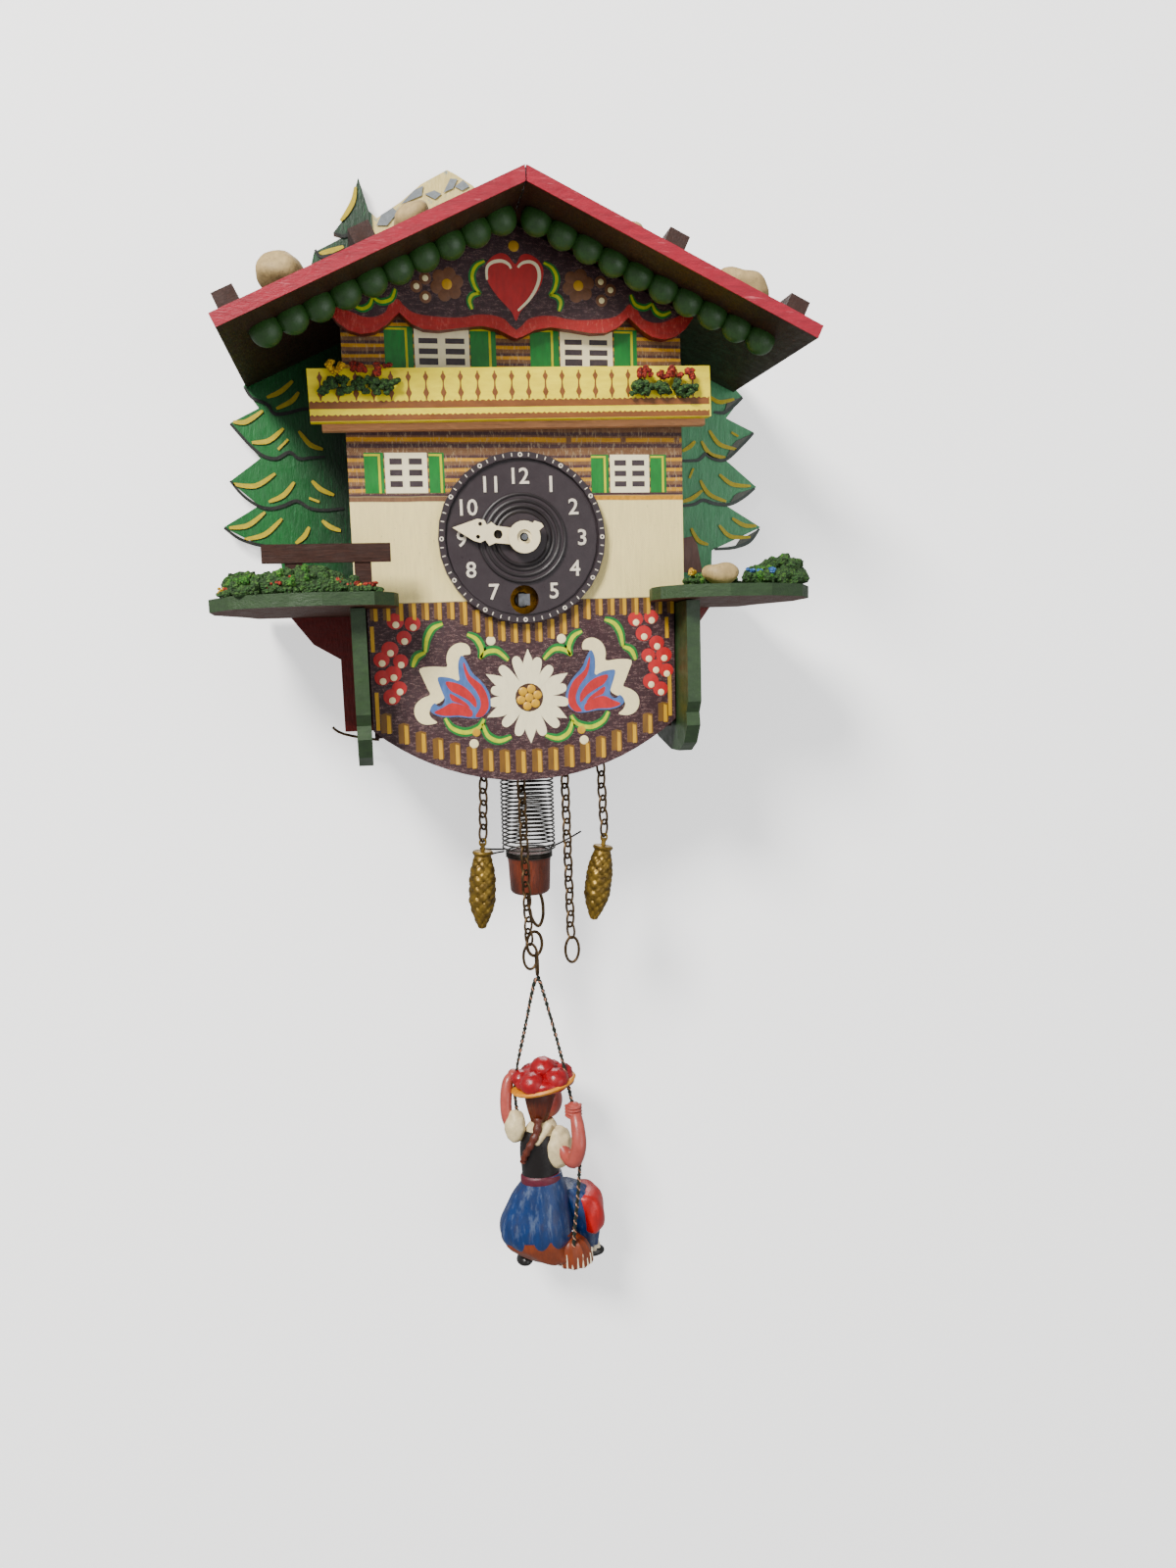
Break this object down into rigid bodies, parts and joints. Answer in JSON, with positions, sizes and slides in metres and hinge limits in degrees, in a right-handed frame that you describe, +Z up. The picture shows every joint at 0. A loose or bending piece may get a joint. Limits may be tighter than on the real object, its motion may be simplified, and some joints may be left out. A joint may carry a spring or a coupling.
{
  "type": "novelty wall clock",
  "caption": "Miniature chalet wall clock with painted front, key-wound movement, hanging cones and chains, and a girl on a swing bobbing on a coil spring",
  "frame": {"origin": "the point of the scenery board's rear face, where the clock lies on the wall, level with the dial's centre and on the middle line", "axes": "+X right, +Y back into the wall, +Z up, as seen from the front; the dial faces -Y"},
  "size_m": [0.1485, 0.065, 0.3003],
  "materials": {
    "limewood": "bare, slightly yellowed plywood and limewood",
    "dark_wood": "dark brown stain",
    "red_paint": "red painted edges over dark stained plywood",
    "panel_paint": "hand-painted log and plaster facade on plywood, satin",
    "yellow_paint": "yellow paint with brown baluster slots",
    "green_paint": "glossy dark green paint on plywood",
    "bead_green": "translucent dark green lacquer on turned beads",
    "scenery_paint": "painted firs and mountains on plywood",
    "stone": "small river pebbles",
    "moss": "dyed flock and foam foliage with flowers",
    "cream_plastic": "ivory moulded plastic, satin",
    "dial_brown": "dark brown moulded plastic with ivory raised numerals",
    "brass": "stamped brass, lightly tarnished",
    "steel": "plain steel wire and arbors",
    "dark_bronze": "browned steel chain and wire",
    "antique_gold": "antique gold cast cones",
    "cord": "twisted dark green, black and beige cord",
    "figure_paint": "hand-painted composition figure"
  },
  "bodies": {
    "case": {"case_floor": "limewood", "balcony_floor": "limewood", "side_wall_left": "dark_wood", "side_wall_right": "dark_wood", "roof_batten_1": "dark_wood", "roof_batten_2": "dark_wood", "roof_batten_3": "dark_wood", "roof_batten_4": "dark_wood", "bench": "dark_wood", "roof_left": "red_paint", "roof_right": "red_paint", "front_panel": "panel_paint", "gable_board": "panel_paint", "balcony_front": "yellow_paint", "shelf_left": "green_paint", "shelf_right": "green_paint", "bracket_left": "green_paint", "bracket_right": "green_paint", "bead_trim_left": "bead_green", "bead_trim_right": "bead_green", "back_board": "scenery_paint", "roof_stone_1": "stone", "roof_stone_2": "stone", "roof_stone_3": "stone", "roof_stone_4": "stone", "shelf_stone": "stone", "balcony_flowers_left": "moss", "balcony_flowers_right": "moss", "shelf_plants_left": "moss", "shelf_plants_right": "moss", "dial": "dial_brown", "movement_front_plate": "brass", "movement_back_plate": "brass", "click": "steel", "mainspring": "steel", "coil_spring": "steel", "chain_rail": "steel", "back_clip_wire": "dark_bronze"},
    "minute_work": {"centre_arbor": "steel", "minute_hand": "cream_plastic"},
    "hour_work": {"hour_wheel": "brass", "hour_hand": "cream_plastic"},
    "motion_wheel": {"minute_wheel": "brass"},
    "great_wheel_body": {"great_wheel": "brass"},
    "third_wheel_body": {"third_wheel": "brass"},
    "escape_wheel_body": {"escape_wheel": "brass"},
    "winding": {"winding_arbor": "steel"},
    "lever": {"escape_lever": "steel"},
    "bob": {"spring_plug": "dark_wood", "plug_hook": "dark_bronze"},
    "swing": {"swing_link": "dark_bronze", "swing_rope": "cord", "swing_girl": "figure_paint", "swing_seat": "limewood"},
    "cone_left_body": {"cone_chain_left": "dark_bronze", "cone_left": "antique_gold"},
    "cone_right_body": {"cone_chain_right": "dark_bronze", "cone_right": "antique_gold"},
    "loose_left_body": {"loose_chain_left": "dark_bronze"},
    "loose_right_body": {"loose_chain_right": "dark_bronze"}
  },
  "joints": [
    {"name": "third_turn", "type": "hinge", "parent": "case", "child": "third_wheel_body", "pos_m": [-0.00948, -0.034, 0.00491], "axis": [0, 1, 0], "continuous": true},
    {"name": "minute_turn", "type": "hinge", "parent": "case", "child": "minute_work", "pos_m": [0, -0.043, 0], "axis": [0, 1, 0], "continuous": true},
    {"name": "hour_turn", "type": "hinge", "parent": "case", "child": "hour_work", "pos_m": [0, -0.037, 0], "axis": [0, 1, 0], "continuous": true},
    {"name": "motion_turn", "type": "hinge", "parent": "case", "child": "motion_wheel", "pos_m": [-0.0064, -0.037, 0], "axis": [0, 1, 0], "continuous": true},
    {"name": "great_turn", "type": "hinge", "parent": "case", "child": "great_wheel_body", "pos_m": [0, -0.0255, -0.0147], "axis": [0, 1, 0], "continuous": true},
    {"name": "escape_turn", "type": "hinge", "parent": "case", "child": "escape_wheel_body", "pos_m": [-0.01548, -0.034, -0.00199], "axis": [0, 1, 0], "continuous": true},
    {"name": "winding_turn", "type": "hinge", "parent": "case", "child": "winding", "pos_m": [0, -0.039, -0.0147], "axis": [0, 1, 0], "range_deg": [0, 1800]},
    {"name": "lever_rock", "type": "hinge", "parent": "case", "child": "lever", "pos_m": [-0.0194, -0.012, -0.0116], "axis": [0, 1, 0], "range_deg": [-3.2, 3.2]},
    {"name": "bob_slide", "type": "slide", "parent": "case", "child": "bob", "axis": [0, 0, 1], "range_m": [-0.006, 0.006], "stiffness_N_per_m": 6, "springref_m": 0.01498, "deforming": ["coil_spring"]},
    {"name": "swing_hinge", "type": "hinge", "parent": "bob", "child": "swing", "pos_m": [0.003, -0.019, -0.1014], "axis": [0, 1, 0], "range_deg": [-18, 18]},
    {"name": "cone_left_swing", "type": "hinge", "parent": "case", "child": "cone_left_body", "pos_m": [-0.0107, -0.032, -0.0496], "axis": [1, 0, 0], "range_deg": [-6, 6]},
    {"name": "cone_right_swing", "type": "hinge", "parent": "case", "child": "cone_right_body", "pos_m": [0.019, -0.032, -0.0496], "axis": [1, 0, 0], "range_deg": [-6, 6]},
    {"name": "loose_left_swing", "type": "hinge", "parent": "case", "child": "loose_left_body", "pos_m": [-0.0017, -0.032, -0.0496], "axis": [1, 0, 0], "range_deg": [-6, 6]},
    {"name": "loose_right_swing", "type": "hinge", "parent": "case", "child": "loose_right_body", "pos_m": [0.0097, -0.032, -0.0496], "axis": [1, 0, 0], "range_deg": [-6, 6]}
  ],
  "couplings": [
    {"joint": "minute_turn", "follows": "third_turn", "ratio": -0.12963},
    {"joint": "hour_turn", "follows": "third_turn", "ratio": -0.010802},
    {"joint": "motion_turn", "follows": "third_turn", "ratio": 0.04321},
    {"joint": "great_turn", "follows": "third_turn", "ratio": 0.021605},
    {"joint": "escape_turn", "follows": "third_turn", "ratio": -7.7143},
    {"joint": "lever_rock", "follows": "bob_slide", "rad_per_m": -8.7}
  ]
}
